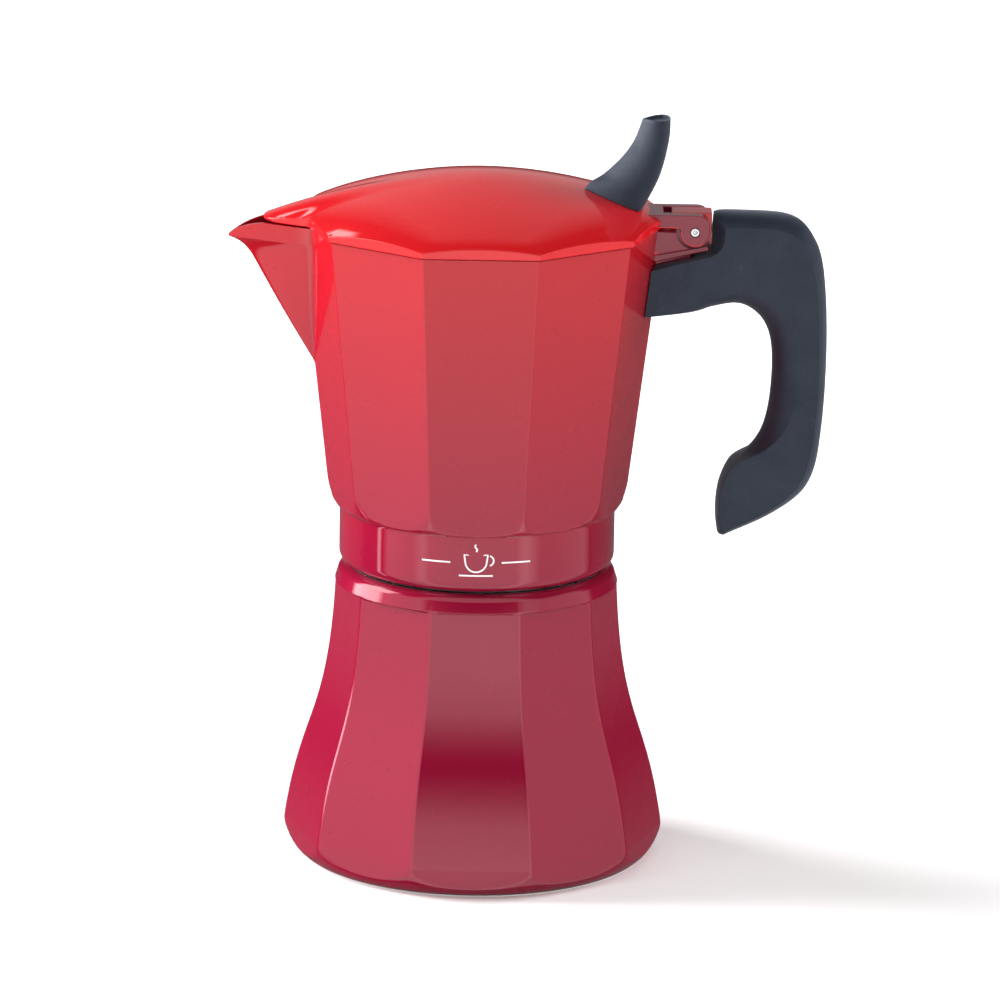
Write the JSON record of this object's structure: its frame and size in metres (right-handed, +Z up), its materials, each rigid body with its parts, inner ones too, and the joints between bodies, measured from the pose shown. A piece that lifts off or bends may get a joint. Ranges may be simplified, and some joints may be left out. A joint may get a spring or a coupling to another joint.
{
  "type": "moka pot",
  "caption": "Faceted red stove-top coffee maker: flared boiler, funnel, screw-on collector with spout, hinged domed lid, horn knob and open hook handle.",
  "frame": {"origin": "centre of the base's flat underside, on the pot's axis", "axes": "+Z up along the pot's axis, +X towards the hinge and the handle, -X towards the spout, +Y towards the safety valve"},
  "size_m": [0.1635, 0.0992, 0.2089],
  "materials": {
    "red_lacquer": "gloss translucent lacquer on aluminium",
    "bare_aluminium": "satin cast and turned",
    "black_plastic": "fine-grained moulded plastic",
    "steel": "turned",
    "brass": "turned",
    "silicone": "moulded, matte"
  },
  "bodies": {
    "base": {"boiler": "red_lacquer", "induction_disc": "steel", "valve_body": "brass", "valve_gasket": "silicone", "valve_seat": "brass", "valve_spring": "steel"},
    "valve_pin": {"valve_pin": "steel"},
    "funnel": {"funnel": "bare_aluminium", "funnel_plate": "bare_aluminium"},
    "gasket": {"gasket": "silicone"},
    "filter_plate": {"filter_plate": "bare_aluminium"},
    "collector": {"collector": "red_lacquer", "riser_column": "bare_aluminium", "hinge_pin": "steel", "handle": "black_plastic", "handle_screw": "steel", "handle_washer": "steel"},
    "lid": {"lid": "red_lacquer", "knob": "black_plastic", "knob_insert": "brass", "knob_screw": "steel", "knob_washer": "steel"}
  },
  "joints": [
    {"name": "collector_lift", "type": "slide", "parent": "base", "child": "filter_plate", "axis": [0, 0, 1], "range_m": [0, 0.19]},
    {"name": "collector_turn", "type": "hinge", "parent": "filter_plate", "child": "collector", "pos_m": [0, 0, 0.09], "axis": [0, 0, 1], "range_deg": [0, 540]},
    {"name": "lid_hinge", "type": "hinge", "parent": "collector", "child": "lid", "pos_m": [0.0579, 0, 0.1772], "axis": [0, 1, 0], "range_deg": [0, 97]},
    {"name": "funnel_lift", "type": "slide", "parent": "base", "child": "funnel", "axis": [0, 0, 1], "range_m": [0, 0.096]},
    {"name": "gasket_lift", "type": "slide", "parent": "base", "child": "gasket", "axis": [0, 0, 1], "range_m": [0, 0.153]},
    {"name": "valve_pin_slide", "type": "slide", "parent": "base", "child": "valve_pin", "axis": [0, 1, 0], "range_m": [0, 0.0015], "stiffness_N_per_m": 800, "springref_m": -0.002, "deforming": ["valve_spring"]}
  ],
  "couplings": [
    {"joint": "funnel_lift", "follows": "collector_lift", "ratio": 0.5},
    {"joint": "gasket_lift", "follows": "collector_lift", "ratio": 0.8}
  ]
}
